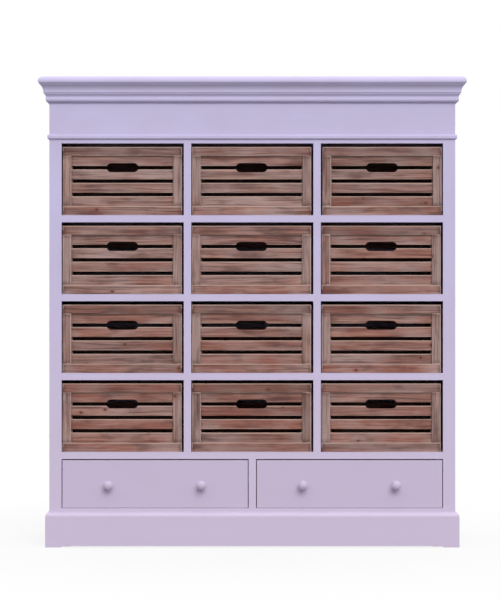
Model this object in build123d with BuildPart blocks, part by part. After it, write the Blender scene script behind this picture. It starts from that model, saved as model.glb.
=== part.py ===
from build123d import *
import os

# Storage cabinet with twelve loose slatted crates above two wide drawers. Sizes are in millimetres.
# X runs across the width, Y from the front to the back and Z up. The origin is on the floor, at the
# middle of the width and of the whole depth, which is that of the top board.

# ---------------------------------------------------------------- overall form
overall_height = 1269.0
carcase_width = 1096.0
carcase_depth = 380.0
columns = 3
rows = 4

# ---------------------------------------------------------------- carcase boards
side_thickness = 18.0
frame_thickness = 20.0  # stiles, bottom rail and frieze, from front to back
stile_width = 33.0
partition_thickness = 20.0
board_thickness = 19.0  # shelves, ceiling, deck and bottom panel
housing_depth = 6.0  # how far a board's end goes into the upright beside it
back_thickness = 6.0
back_rebate = 9.0
side_lift = 4.0  # the sides and stiles stop short of the floor

# ---------------------------------------------------------------- top, crown moulding, frieze and bead
top_thickness = 20.0
top_projection = 28.5
top_upper_round = 13.0
top_lower_round = 6.0
crown_height = 50.0
cove_top_projection = 24.5
cove_lip = 1.5
cove_height = 18.5
cove_foot_projection = 15.3
cove_foot_lip = 3.0
square_projection = 12.5
square_height = 4.5
neck_height = 7.5  # of the small cove under the square
neck_projection = 8.4
swell_height = 6.0  # between the neck and the widest part of the rounded foot
swell_projection = 9.4
frieze_height = 85.0  # between the crown moulding and the bead
bead_height = 13.5
bead_projection = 5.0
bead_round = 4.5
ceiling_shows = 10.5  # of the ceiling board, under the bead

# ---------------------------------------------------------------- plinth
plinth_height = 94.5
plinth_projection = 10.5
plinth_round_height = 12.5
plinth_top_flat = 1.0
foot_width = 41.0
foot_height = 4.0
foot_slope = 8.0
bottom_rail_shows = 10.5
bottom_rail_height = 45.0

# ---------------------------------------------------------------- inner strips and blocks
crate_guide_height = 20.0
drawer_guide_height = 30.0
kicker_width = 25.0
kicker_thickness = 12.0
stop_length = 20.0
stop_width = 30.0
stop_height = 15.0
corner_block_side = 40.0
corner_block_height = 60.0
back_rail_thickness = 18.0
back_rail_lift = 20.0

# ---------------------------------------------------------------- crates
crate_side_clearance = 3.75
crate_top_clearance = 9.4
crate_recess = 5.0
crate_rear_clearance = 29.0
crate_frame_thickness = 14.0
crate_top_rail = 24.2
crate_bottom_rail = 24.5
crate_stile = 23.5
slat_thickness = 8.0
slat_rebate = 8.0  # how far a front slat's end reaches into the stile
slat_gap = 9.6
front_slats = 4
hand_hole_length = 85.6
hand_hole_height = 24.4
post_side = 18.0
side_slats = 3
side_slat_gap = 15.0
crate_bottom_thickness = 6.0
# how far each crate stands from the middle of its bay, by row from the top and column from the left
crate_shifts = (
    (-1.1, -1.8, 0.9),
    (-1.5, -2.3, -1.5),
    (-1.6, -2.2, -1.5),
    (-1.9, -1.8, -2.0),
)

# ---------------------------------------------------------------- drawers
drawer_opening_height = 132.5
drawer_gap = 2.0  # beside a drawer front
drawer_top_gap = 3.2
drawer_floor_gap = 0.5
drawer_front_thickness = 18.0
drawer_side_thickness = 12.0
drawer_top_clearance = 3.7  # between a drawer's sides and the kickers above them
drawer_rear_clearance = 29.0
drawer_back_drop = 8.0  # the back is lower than the sides
rebate_tongue = 8.0  # what is left of the front in front of a side's end
groove_lift = 10.0
groove_depth = 5.0
groove_play = 0.5
drawer_bottom_thickness = 5.0
front_arris = 0.8
running_gap = 0.3  # under and behind whatever slides

# ---------------------------------------------------------------- knobs
knob_inset = 125.0
knob_height = 62.5  # above the drawer front's lower edge
knob_diameter = 25.0
knob_projection = 27.0
knob_rim_start = 17.0  # from the drawer front to the widest part
knob_rim_width = 4.0
knob_foot_diameter = 15.0
knob_neck_diameter = 11.0
knob_neck_length = 9.0
tenon_diameter = 10.0  # the tenon is turned on the knob and goes through the drawer front
tenon_play = 0.1

# ---------------------------------------------------------------- levels worked out from the sizes
rail_top = plinth_height + bottom_rail_shows
deck_bottom = rail_top + drawer_opening_height
deck_top = deck_bottom + board_thickness
top_underside = overall_height - top_thickness
crown_bottom = top_underside - crown_height
bead_top = crown_bottom - frieze_height
bead_bottom = bead_top - bead_height
ceiling_bottom = bead_bottom - ceiling_shows
ceiling_top = ceiling_bottom + board_thickness
bay_height = (ceiling_bottom - deck_top - (rows - 1) * board_thickness) / rows
row_pitch = bay_height + board_thickness
bay_floors = [deck_top + (rows - 1 - row) * row_pitch for row in range(rows)]  # from the top row down
shelf_bottoms = [floor - board_thickness for floor in bay_floors[:-1]]
bottom_underside = rail_top - board_thickness

# ---------------------------------------------------------------- places across the width and the depth
front_y = (top_projection - carcase_depth) / 2
back_y = front_y + carcase_depth
behind_frame_y = front_y + frame_thickness
back_panel_y = back_y - back_thickness
inner_depth = back_panel_y - front_y
behind_frame_depth = back_panel_y - behind_frame_y
outer_x = carcase_width / 2
side_inner_x = outer_x - side_thickness
opening_x = outer_x - stile_width
guide_thickness = side_inner_x - opening_x
bay_width = (2 * opening_x - (columns - 1) * partition_thickness) / columns
column_pitch = bay_width + partition_thickness
bay_centres = [(column - (columns - 1) / 2) * column_pitch for column in range(columns)]
partition_centres = [centre + column_pitch / 2 for centre in bay_centres[:-1]]
drawer_opening_width = opening_x - partition_thickness / 2
drawer_centres = [side * (partition_thickness + drawer_opening_width) / 2 for side in (-1, 1)]
drawer_depth = inner_depth - drawer_rear_clearance
drawer_side_height = drawer_opening_height - kicker_thickness - running_gap - drawer_top_clearance

LOWEST = (Align.MIN, Align.MIN)
MIDDLE_LOW = (Align.CENTER, Align.MIN)
BOX_CORNER = (Align.MIN, Align.MIN, Align.MIN)

os.makedirs("parts", exist_ok=True)


def write(shape, name):
    """Label a piece or a group of separate solids, and write it under that name."""
    shape.label = name
    export_step(shape, f"parts/{name}.step")


def group(*pieces, place=Location()):
    """Gather the solids of several pieces, still separate, into one node set down at a place."""
    return Compound([solid.moved(place) for piece in pieces for solid in piece.part.solids()])


def facing(y):
    """Upright plane at a depth y, drawn on in width and height, whose pull goes to the front."""
    return Plane.XZ.offset(-y)


# ================================================================ side panels
with BuildPart() as side_panel_left:
    with BuildSketch(Plane.YZ.offset(-outer_x)):
        with Locations((behind_frame_y, side_lift)):
            Rectangle(back_y - behind_frame_y, top_underside - side_lift, align=LOWEST)
    extrude(amount=side_thickness)
    # housings for every board that ends in the side
    with BuildSketch(Plane.YZ.offset(-side_inner_x)):
        for level in [bottom_underside, deck_bottom, *shelf_bottoms, ceiling_bottom]:
            with Locations((behind_frame_y, level)):
                Rectangle(behind_frame_depth, board_thickness, align=LOWEST)
    extrude(amount=-housing_depth, mode=Mode.SUBTRACT)
    # rebate for the back panel
    with BuildSketch(facing(back_y)):
        with Locations((-side_inner_x - back_rebate, bottom_underside)):
            Rectangle(back_rebate, top_underside - bottom_underside, align=LOWEST)
    extrude(amount=back_thickness, mode=Mode.SUBTRACT)

with BuildPart() as side_panel_right:
    mirror(side_panel_left.part, about=Plane.YZ)

write(side_panel_left.part, "side_panel_left")
write(side_panel_right.part, "side_panel_right")

# ================================================================ back panel and rear bottom rail
with BuildPart() as back_panel:
    with BuildSketch(facing(back_y)):
        with Locations((0, bottom_underside)):
            Rectangle(2 * (side_inner_x + back_rebate), top_underside - bottom_underside, align=MIDDLE_LOW)
    extrude(amount=back_thickness)

with BuildPart() as back_rail:
    with BuildSketch(facing(back_y)):
        with Locations((0, back_rail_lift)):
            Rectangle(2 * side_inner_x, bottom_underside - back_rail_lift, align=MIDDLE_LOW)
    extrude(amount=back_rail_thickness)

write(back_panel.part, "back_panel")
write(back_rail.part, "back_rail")

# ================================================================ front frame: stiles, bottom rail, frieze
with BuildPart() as stile_left:
    with BuildSketch(facing(behind_frame_y)):
        with Locations((-outer_x, side_lift)):
            Rectangle(stile_width, ceiling_top - side_lift, align=LOWEST)
    extrude(amount=frame_thickness)

with BuildPart() as stile_right:
    mirror(stile_left.part, about=Plane.YZ)

with BuildPart() as bottom_rail:
    with BuildSketch(facing(behind_frame_y)):
        with Locations((0, rail_top - bottom_rail_height)):
            Rectangle(2 * opening_x, bottom_rail_height, align=MIDDLE_LOW)
    extrude(amount=frame_thickness)

with BuildPart() as frieze_board:
    with BuildSketch(facing(behind_frame_y)):
        with Locations((0, ceiling_top)):
            Rectangle(carcase_width, top_underside - ceiling_top, align=MIDDLE_LOW)
    extrude(amount=frame_thickness)

write(stile_left.part, "stile_left")
write(stile_right.part, "stile_right")
write(bottom_rail.part, "bottom_rail")
write(frieze_board.part, "frieze_board")

# ================================================================ full-width boards
# The deck and the ceiling fill the opening at the front, and behind the stiles widen into the sides.
with BuildPart() as drawer_deck:
    with BuildSketch(Plane.XY.offset(deck_bottom)):
        with Locations((0, front_y)):
            Rectangle(2 * opening_x, inner_depth, align=MIDDLE_LOW)
        with Locations((0, behind_frame_y)):
            Rectangle(2 * (side_inner_x + housing_depth), behind_frame_depth, align=MIDDLE_LOW)
    extrude(amount=board_thickness)

with BuildPart() as ceiling_board:
    add(drawer_deck.part.moved(Location((0, 0, ceiling_bottom - deck_bottom))))

with BuildPart() as bottom_panel:
    with BuildSketch(Plane.XY.offset(bottom_underside)):
        with Locations((0, behind_frame_y)):
            Rectangle(2 * (side_inner_x + housing_depth), behind_frame_depth, align=MIDDLE_LOW)
    extrude(amount=board_thickness)

write(drawer_deck.part, "drawer_deck")
write(ceiling_board.part, "ceiling_board")
write(bottom_panel.part, "bottom_panel")

# ================================================================ partitions between the columns of crates
# The housings stop short of the front edge, so that only a plain joint shows there.
with BuildPart() as partition_left:
    with BuildSketch(Plane.XY.offset(deck_top)):
        with Locations((partition_centres[0], front_y)):
            Rectangle(partition_thickness, inner_depth, align=MIDDLE_LOW)
    extrude(amount=ceiling_bottom - deck_top)
    with BuildSketch(facing(back_panel_y)):
        for level in shelf_bottoms:
            for face_x in (bay_centres[0] + bay_width / 2, bay_centres[1] - bay_width / 2):
                with Locations((face_x, level)):
                    Rectangle(2 * housing_depth, board_thickness, align=MIDDLE_LOW)
    extrude(amount=behind_frame_depth, mode=Mode.SUBTRACT)

with BuildPart() as partition_right:
    mirror(partition_left.part, about=Plane.YZ)

write(partition_left.part, "partition_left")
write(partition_right.part, "partition_right")

# ================================================================ shelf boards
shelf_places = [Location((0, 0, level)) for level in shelf_bottoms]

with BuildPart() as middle_shelf:
    with BuildSketch():
        with Locations((0, front_y)):
            Rectangle(bay_width, inner_depth, align=MIDDLE_LOW)
        with Locations((0, behind_frame_y)):
            Rectangle(bay_width + 2 * housing_depth, behind_frame_depth, align=MIDDLE_LOW)
    extrude(amount=board_thickness)

outer_shelf_end = -side_inner_x - housing_depth
outer_shelf_inner = bay_centres[0] + bay_width / 2 + housing_depth

with BuildPart() as left_shelf:
    with BuildSketch():
        with Locations((bay_centres[0], front_y)):
            Rectangle(bay_width, inner_depth, align=MIDDLE_LOW)
        with Locations((outer_shelf_end, behind_frame_y)):
            Rectangle(outer_shelf_inner - outer_shelf_end, behind_frame_depth, align=LOWEST)
    extrude(amount=board_thickness)

with BuildPart() as right_shelf:
    mirror(left_shelf.part, about=Plane.YZ)

shelf_solids = [
    board.part.solid().moved(place)
    for place in shelf_places
    for board in (left_shelf, middle_shelf, right_shelf)
]
write(Compound(shelf_solids), "shelf_boards")

# ================================================================ divider between the drawers
with BuildPart() as drawer_divider:
    with BuildSketch(Plane.XY.offset(rail_top)):
        with Locations((0, front_y)):
            Rectangle(partition_thickness, inner_depth, align=MIDDLE_LOW)
    extrude(amount=drawer_opening_height)

write(drawer_divider.part, "drawer_divider")

# ================================================================ guides, kickers and stops
with BuildPart() as crate_guides:
    for floor in bay_floors:
        with Locations((-side_inner_x, behind_frame_y, floor)):
            Box(guide_thickness, behind_frame_depth, crate_guide_height, align=BOX_CORNER)
    mirror(about=Plane.YZ)

with BuildPart() as drawer_guides:
    with Locations((-side_inner_x, behind_frame_y, rail_top)):
        Box(guide_thickness, behind_frame_depth, drawer_guide_height, align=BOX_CORNER)
    mirror(about=Plane.YZ)

with BuildPart() as drawer_kickers:
    for edge in (-opening_x, -partition_thickness / 2 - kicker_width):
        with Locations((edge, behind_frame_y, deck_bottom - kicker_thickness)):
            Box(kicker_width, behind_frame_depth, kicker_thickness, align=BOX_CORNER)
    mirror(about=Plane.YZ)

with BuildPart() as drawer_stops:
    for edge in (-opening_x, -partition_thickness / 2 - stop_width):
        with Locations((edge, front_y + drawer_depth + running_gap, rail_top)):
            Box(stop_width, stop_length, stop_height, align=BOX_CORNER)
    mirror(about=Plane.YZ)

write(crate_guides.part, "crate_guides")
write(drawer_guides.part, "drawer_guides")
write(drawer_kickers.part, "drawer_kickers")
write(drawer_stops.part, "drawer_stops")

# ================================================================ corner blocks
# Three-cornered blocks under the top, and square ones that carry the carcase to the floor.
with BuildPart() as top_blocks:
    with BuildSketch(Plane.XY.offset(top_underside)):
        with BuildLine():
            Polyline(
                (-side_inner_x, behind_frame_y),
                (-side_inner_x + corner_block_side, behind_frame_y),
                (-side_inner_x, behind_frame_y + corner_block_side),
                close=True,
            )
        make_face()
        with BuildLine():
            Polyline(
                (-side_inner_x, back_panel_y),
                (-side_inner_x + corner_block_side, back_panel_y),
                (-side_inner_x, back_panel_y - corner_block_side),
                close=True,
            )
        make_face()
    extrude(amount=-corner_block_height)
    mirror(about=Plane.YZ)

with BuildPart() as floor_blocks:
    with BuildSketch():
        with Locations((-side_inner_x, behind_frame_y)):
            Rectangle(corner_block_side, corner_block_side, align=LOWEST)
        with Locations((-side_inner_x, back_y - back_rail_thickness)):
            Rectangle(corner_block_side, corner_block_side, align=(Align.MIN, Align.MAX))
    extrude(amount=bottom_underside)
    mirror(about=Plane.YZ)

write(group(top_blocks), "top_blocks")
write(group(floor_blocks), "floor_blocks")

# ================================================================ top board
with BuildPart() as top_board:
    with BuildSketch(Plane.XY.offset(top_underside)):
        with Locations((0, back_y)):
            Rectangle(
                carcase_width + 2 * top_projection,
                carcase_depth + top_projection,
                align=(Align.CENTER, Align.MAX),
            )
    extrude(amount=top_thickness)
    rear_edges = top_board.edges().group_by(Axis.Y)[-1]
    upper_edges = top_board.edges().group_by(Axis.Z)[-1] - rear_edges
    fillet(upper_edges, radius=top_upper_round)
    lower_edges = top_board.edges().group_by(Axis.Z)[0] - top_board.edges().group_by(Axis.Y)[-1]
    fillet(lower_edges, radius=top_lower_round)

write(top_board.part, "top_board")

# ================================================================ mouldings that go round three sides
# Each section is drawn outward from the carcase face and upward. The front length runs from right to
# left and is cut at both ends along the mitres, and the returns run from the mitre to the back.
widest_projection = max(top_projection, plinth_projection)
front_run = carcase_width + 2 * widest_projection
return_run = carcase_depth + widest_projection
front_section = Plane(origin=(front_run / 2, front_y, 0), x_dir=(0, -1, 0), z_dir=(-1, 0, 0))
left_section = Plane(origin=(-outer_x, back_y, 0), x_dir=(-1, 0, 0), z_dir=(0, 1, 0))
left_mitre = Plane(origin=(-outer_x, front_y, 0), x_dir=(0, 0, 1), z_dir=(1, -1, 0))
right_mitre = Plane(origin=(outer_x, front_y, 0), x_dir=(0, 0, 1), z_dir=(-1, -1, 0))

cove_top = top_underside - cove_lip
cove_bottom = cove_top - cove_height
square_top = cove_bottom - cove_foot_lip
square_bottom = square_top - square_height
neck_level = square_bottom - neck_height
swell_level = neck_level - swell_height

# crown moulding: a hollow cove under the top board, a small square, a second cove and a rounded foot
with BuildSketch() as crown_section:
    with BuildLine():
        Polyline((0, crown_bottom), (0, top_underside), (cove_top_projection, top_underside))
        Line((cove_top_projection, top_underside), (cove_top_projection, cove_top))
        TangentArc(
            (cove_foot_projection, cove_bottom), (cove_top_projection, cove_top), tangent=(0, 1)
        )
        Polyline(
            (cove_foot_projection, cove_bottom),
            (cove_foot_projection, square_top),
            (square_projection, square_top),
            (square_projection, square_bottom),
        )
        TangentArc(
            (neck_projection, neck_level), (square_projection, square_bottom), tangent=(0, 1)
        )
        Line((neck_projection, neck_level), (swell_projection, swell_level))
        TangentArc((swell_projection, swell_level), (0, crown_bottom), tangent=(0, -1))
    make_face()

# bead between the frieze and the crate bays: a flat strip with its outer edges rounded
with BuildSketch() as bead_section:
    with Locations((0, bead_bottom)):
        Rectangle(bead_projection, bead_height, align=LOWEST)
    fillet(bead_section.vertices().group_by(Axis.X)[-1], radius=bead_round)

# plinth board: upright, with its upper edge rounded over to a narrow flat
plinth_round_bottom = plinth_height - plinth_round_height
with BuildSketch() as plinth_section:
    with BuildLine():
        Polyline(
            (plinth_top_flat, plinth_height),
            (0, plinth_height),
            (0, 0),
            (plinth_projection, 0),
            (plinth_projection, plinth_round_bottom),
        )
        TangentArc(
            (plinth_projection, plinth_round_bottom), (plinth_top_flat, plinth_height), tangent=(0, 1)
        )
    make_face()


def front_moulding(section):
    """The front length of a moulding, mitred at both ends."""
    with BuildPart() as length:
        with BuildSketch(front_section):
            add(section.sketch)
        extrude(amount=front_run)
        split(bisect_by=left_mitre, keep=Keep.TOP)
        split(bisect_by=right_mitre, keep=Keep.TOP)
    return length


def side_mouldings(section):
    """The two returns of a moulding, mitred at the front and square at the back."""
    with BuildPart() as lengths:
        with BuildSketch(left_section):
            add(section.sketch)
        extrude(amount=-return_run)
        split(bisect_by=left_mitre, keep=Keep.BOTTOM)
        mirror(about=Plane.YZ)
    return lengths


cornice_front = front_moulding(crown_section)
cornice_returns = side_mouldings(crown_section)
bead_front = front_moulding(bead_section)
bead_returns = side_mouldings(bead_section)

write(cornice_front.part, "cornice_front")
write(cornice_returns.part, "cornice_returns")
write(bead_front.part, "bead_front")
write(bead_returns.part, "bead_returns")

# The plinth boards are cut away underneath between short feet at their ends.
plinth_outer_x = outer_x + plinth_projection
plinth_outer_y = front_y - plinth_projection

with BuildPart() as plinth_front:
    add(front_moulding(plinth_section).part)
    with BuildSketch(facing(front_y)):
        with BuildLine():
            Polyline(
                (-plinth_outer_x + foot_width, 0),
                (-plinth_outer_x + foot_width + foot_slope, foot_height),
                (plinth_outer_x - foot_width - foot_slope, foot_height),
                (plinth_outer_x - foot_width, 0),
                close=True,
            )
        make_face()
    extrude(amount=plinth_projection, mode=Mode.SUBTRACT)

with BuildPart() as plinth_returns:
    add(side_mouldings(plinth_section).part)
    with BuildSketch(Plane.YZ):
        with BuildLine():
            Polyline(
                (plinth_outer_y + foot_width, 0),
                (plinth_outer_y + foot_width + foot_slope, foot_height),
                (back_y - foot_width - foot_slope, foot_height),
                (back_y - foot_width, 0),
                close=True,
            )
        make_face()
    extrude(amount=plinth_outer_x, both=True, mode=Mode.SUBTRACT)

write(plinth_front.part, "plinth_front")
write(plinth_returns.part, "plinth_returns")

# ================================================================ slatted crate
# Modelled once with its front face at y = 0 and its lower edge at z = 0, and set into every bay.
crate_width = bay_width - 2 * crate_side_clearance
crate_height = bay_height - crate_top_clearance - running_gap
crate_depth = inner_depth - crate_recess - crate_rear_clearance
crate_x = crate_width / 2
window_height = crate_height - crate_top_rail - crate_bottom_rail
slat_height = (window_height - (front_slats - 1) * slat_gap) / front_slats
slat_pitch = slat_height + slat_gap
slat_length = crate_width - 2 * (crate_stile - slat_rebate)
hand_hole_z = crate_bottom_rail + (front_slats - 1) * slat_pitch - slat_gap / 2
box_inner_x = crate_x - slat_thickness
box_inner_back_y = crate_depth - slat_thickness
side_slat_height = (crate_height - (side_slats - 1) * side_slat_gap) / side_slats

with BuildPart() as crate_rails:
    with BuildSketch(facing(crate_frame_thickness)):
        Rectangle(crate_width, crate_bottom_rail, align=MIDDLE_LOW)
        with Locations((0, crate_height)):
            Rectangle(crate_width, crate_top_rail, align=(Align.CENTER, Align.MAX))
    extrude(amount=crate_frame_thickness)

with BuildPart() as crate_stiles:
    with BuildSketch(Plane.XY.offset(crate_bottom_rail)):
        with Locations((-crate_x, 0)):
            Rectangle(crate_stile, crate_frame_thickness, align=LOWEST)
        with Locations((-crate_x + crate_stile, crate_frame_thickness)):
            Rectangle(slat_rebate, slat_thickness, align=(Align.MAX, Align.MAX), mode=Mode.SUBTRACT)
    extrude(amount=window_height)
    mirror(about=Plane.YZ)

with BuildPart() as crate_slats:
    with BuildSketch(facing(crate_frame_thickness)):
        for slat in range(front_slats):
            with Locations((0, crate_bottom_rail + slat * slat_pitch)):
                Rectangle(slat_length, slat_height, align=MIDDLE_LOW)
        with Locations((0, hand_hole_z)):
            SlotOverall(hand_hole_length, hand_hole_height, mode=Mode.SUBTRACT)
    extrude(amount=slat_thickness)

with BuildPart() as crate_bottom:
    with BuildSketch():
        with Locations((0, crate_frame_thickness)):
            Rectangle(2 * box_inner_x, box_inner_back_y - crate_frame_thickness, align=MIDDLE_LOW)
    extrude(amount=crate_bottom_thickness)

with BuildPart() as crate_posts:
    with BuildSketch(Plane.XY.offset(crate_bottom_thickness)):
        with Locations((-box_inner_x, crate_frame_thickness)):
            Rectangle(post_side, post_side, align=LOWEST)
        with Locations((-box_inner_x, box_inner_back_y)):
            Rectangle(post_side, post_side, align=(Align.MIN, Align.MAX))
    extrude(amount=crate_height - crate_bottom_thickness)
    mirror(about=Plane.YZ)

with BuildPart() as crate_side_slats:
    with BuildSketch(Plane.YZ.offset(-crate_x)):
        for slat in range(side_slats):
            with Locations((crate_frame_thickness, slat * (side_slat_height + side_slat_gap))):
                Rectangle(box_inner_back_y - crate_frame_thickness, side_slat_height, align=LOWEST)
    extrude(amount=slat_thickness)
    mirror(about=Plane.YZ)

with BuildPart() as crate_back_slats:
    with BuildSketch(facing(crate_depth)):
        for slat in range(side_slats):
            with Locations((0, slat * (side_slat_height + side_slat_gap))):
                Rectangle(crate_width, side_slat_height, align=MIDDLE_LOW)
    extrude(amount=slat_thickness)

for row in range(rows):
    for column in range(columns):
        crate_name = "crate_" + "abc"[column] + str(row + 1)
        crate_place = Location(
            (
                bay_centres[column] + crate_shifts[row][column],
                front_y + crate_recess,
                bay_floors[row] + running_gap,
            )
        )
        write(group(crate_rails, crate_stiles, crate_slats, place=crate_place), crate_name + "_front")
        write(
            group(crate_bottom, crate_posts, crate_side_slats, crate_back_slats, place=crate_place),
            crate_name + "_box",
        )

# ================================================================ drawer
# Modelled once with its front face at y = 0 and the floor of its opening at z = 0.
front_width = drawer_opening_width - 2 * drawer_gap
front_height = drawer_opening_height - drawer_top_gap - drawer_floor_gap
front_x = front_width / 2
drawer_inner_x = front_x - drawer_side_thickness
groove_z = running_gap + groove_lift
drawer_bottom_top = groove_z + drawer_bottom_thickness
groove_front_y = drawer_front_thickness - groove_depth
knob_z = drawer_floor_gap + knob_height
knob_places = [(-front_x + knob_inset, knob_z), (front_x - knob_inset, knob_z)]

with BuildPart() as drawer_front:
    with BuildSketch(facing(drawer_front_thickness)):
        with Locations((0, drawer_floor_gap)):
            Rectangle(front_width, front_height, align=MIDDLE_LOW)
    extrude(amount=drawer_front_thickness)
    chamfer(drawer_front.faces().sort_by(Axis.Y)[0].edges(), length=front_arris)
    # rebates for the sides
    with BuildSketch(facing(drawer_front_thickness)):
        for edge, anchor in ((-front_x, Align.MIN), (front_x, Align.MAX)):
            with Locations((edge, drawer_floor_gap)):
                Rectangle(drawer_side_thickness, front_height, align=(anchor, Align.MIN))
    extrude(amount=drawer_front_thickness - rebate_tongue, mode=Mode.SUBTRACT)
    # groove for the bottom
    with BuildSketch(facing(drawer_front_thickness)):
        with Locations((0, groove_z)):
            Rectangle(front_width, drawer_bottom_thickness, align=MIDDLE_LOW)
    extrude(amount=groove_depth, mode=Mode.SUBTRACT)
    # holes for the tenons of the knobs
    with BuildSketch(facing(drawer_front_thickness)):
        with Locations(*knob_places):
            Circle(tenon_diameter / 2 + tenon_play)
    extrude(amount=drawer_front_thickness, mode=Mode.SUBTRACT)

with BuildPart() as drawer_sides:
    with BuildSketch(Plane.YZ.offset(-front_x)):
        with Locations((rebate_tongue, running_gap)):
            Rectangle(drawer_depth - rebate_tongue, drawer_side_height, align=LOWEST)
    extrude(amount=drawer_side_thickness)
    with BuildSketch(Plane.YZ.offset(-drawer_inner_x)):
        with Locations((rebate_tongue, groove_z)):
            Rectangle(drawer_depth - rebate_tongue, drawer_bottom_thickness, align=LOWEST)
    extrude(amount=-groove_depth, mode=Mode.SUBTRACT)
    mirror(about=Plane.YZ)

with BuildPart() as drawer_back:
    with BuildSketch(facing(drawer_depth)):
        with Locations((0, drawer_bottom_top)):
            Rectangle(
                2 * drawer_inner_x,
                running_gap + drawer_side_height - drawer_back_drop - drawer_bottom_top,
                align=MIDDLE_LOW,
            )
    extrude(amount=drawer_side_thickness)

with BuildPart() as drawer_bottom:
    with BuildSketch(Plane.XY.offset(groove_z)):
        with Locations((0, groove_front_y + groove_play)):
            Rectangle(
                2 * (drawer_inner_x + groove_depth - groove_play),
                drawer_depth - groove_front_y - groove_play,
                align=MIDDLE_LOW,
            )
    extrude(amount=drawer_bottom_thickness)

# A turned knob: a tenon, a waisted neck that flares to a narrow rim, and a domed face. Its section is
# drawn outward from its axis, with the drawer front's face at zero and the dome on the negative side.
with BuildPart() as knob:
    with BuildSketch():
        with BuildLine():
            Polyline(
                (0, -knob_projection),
                (0, drawer_front_thickness),
                (tenon_diameter / 2, drawer_front_thickness),
                (tenon_diameter / 2, 0),
                (knob_foot_diameter / 2, 0),
                (knob_neck_diameter / 2, -knob_neck_length),
                (knob_diameter / 2, -knob_rim_start),
                (knob_diameter / 2, -knob_rim_start - knob_rim_width),
            )
            TangentArc(
                (0, -knob_projection),
                (knob_diameter / 2, -knob_rim_start - knob_rim_width),
                tangent=(1, 0),
            )
        make_face()
    revolve(axis=Axis.Y)

for name, centre_x in zip(("drawer_left", "drawer_right"), drawer_centres):
    drawer_place = Location((centre_x, front_y, rail_top))
    at_knobs = [drawer_place * Location((x, 0, z)) for x, z in knob_places]
    write(group(drawer_front, place=drawer_place), name + "_front")
    write(group(drawer_sides, drawer_back, place=drawer_place), name + "_box")
    write(group(drawer_bottom, place=drawer_place), name + "_bottom")
    write(Compound([knob.part.solid().moved(place) for place in at_knobs]), name + "_knobs")
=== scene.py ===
"""Looks of a painted storage cabinet with twelve slatted crates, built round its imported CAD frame."""
import logging
import math
from dataclasses import dataclass
from enum import Enum

import bmesh
import bpy
import numpy as np
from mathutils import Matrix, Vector


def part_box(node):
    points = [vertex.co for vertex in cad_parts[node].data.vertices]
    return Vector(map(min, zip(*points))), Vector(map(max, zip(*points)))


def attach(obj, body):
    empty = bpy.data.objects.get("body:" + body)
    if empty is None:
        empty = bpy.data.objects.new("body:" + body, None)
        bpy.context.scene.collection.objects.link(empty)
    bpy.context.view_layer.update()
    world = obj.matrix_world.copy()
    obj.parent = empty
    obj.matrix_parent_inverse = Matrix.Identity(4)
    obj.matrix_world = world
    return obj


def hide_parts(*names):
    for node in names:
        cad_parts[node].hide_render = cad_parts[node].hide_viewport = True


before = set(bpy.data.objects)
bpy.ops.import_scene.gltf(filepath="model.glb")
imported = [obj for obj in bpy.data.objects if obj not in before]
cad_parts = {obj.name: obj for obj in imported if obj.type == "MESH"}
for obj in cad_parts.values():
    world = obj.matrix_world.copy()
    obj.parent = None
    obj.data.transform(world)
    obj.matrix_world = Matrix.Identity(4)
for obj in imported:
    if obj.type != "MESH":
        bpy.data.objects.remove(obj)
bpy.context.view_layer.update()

log = logging.getLogger("cabinet")

MM = 0.001
UP = Vector((0, 0, 1))
WHITE = (1, 1, 1, 1)
COLOURS = {"data_type": "RGBA"}
SMOOTH = {"interpolation_type": "SMOOTHSTEP"}
Point = tuple[float, float]
Number3 = tuple[float, float, float]
Tree = bpy.types.NodeTree
Socket = bpy.types.NodeSocket
Layer = tuple[Socket, str]  # how much of a colour lies over the wood, and the colour


class Run(Enum):
    """The way a board runs, which its grain and its brush marks follow."""

    WIDTH = 0
    DEPTH = 1
    HEIGHT = 2


# ---------------------------------------------------------------- colour and node helpers
def linear(colour: str) -> tuple[float, float, float, float]:
    """Turn an sRGB hex colour into the linear one that shaders take.

    Args:
        colour: six hex digits after a hash.

    Returns:
        Red, green, blue and an alpha of 1.
    """
    channels = [int(colour[i : i + 2], 16) / 255 for i in (1, 3, 5)]
    red, green, blue = [c / 12.92 if c <= 0.04045 else ((c + 0.055) / 1.055) ** 2.4 for c in channels]
    return red, green, blue, 1.0


def add_node(
    tree: Tree, kind: str, settings: dict | None = None, inputs: dict | tuple = ()
) -> bpy.types.bpy_prop_collection:
    """Add a node with its settings and its inputs.

    Args:
        tree: the tree that takes the node.
        kind: the node's type, without ShaderNode before it.
        settings: attributes of the node.
        inputs: a value or an output socket for each named or numbered input, or for the first ones in order.

    Returns:
        The node's outputs.
    """
    node = tree.nodes.new("ShaderNode" + kind)
    for name, value in (settings or {}).items():
        setattr(node, name, value)
    for socket, value in inputs.items() if isinstance(inputs, dict) else enumerate(inputs):
        if isinstance(value, bpy.types.NodeSocket):
            tree.links.new(value, node.inputs[socket])
        else:
            node.inputs[socket].default_value = value
    return node.outputs


def stretched_noise(
    tree: Tree,
    where: Socket,
    stretch: Number3 | list[float],
    scale: float = 1.0,
    detail: float = 2.0,
    distortion: float = 0.0,
    shift: Number3 = (0.0, 0.0, 0.0),
) -> Socket:
    """Add a noise that is longer one way than another, as grain and brush marks are.

    Args:
        tree: the tree that takes it.
        where: the place that it is read at.
        stretch: how often it changes along each axis, before the scale.
        scale: how often it changes on the whole.
        detail: how many finer copies are laid over it.
        distortion: how far it is bent by itself.
        shift: what is added to the stretched place, so that two noises differ.

    Returns:
        Its value, mostly between 0.3 and 0.7.
    """
    place = add_node(tree, "Mapping", inputs={"Vector": where, "Location": shift, "Scale": stretch})[0]
    return add_node(
        tree,
        "TexNoise",
        inputs={"Vector": place, "Scale": scale, "Detail": detail, "Distortion": distortion},
    )[0]


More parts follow.
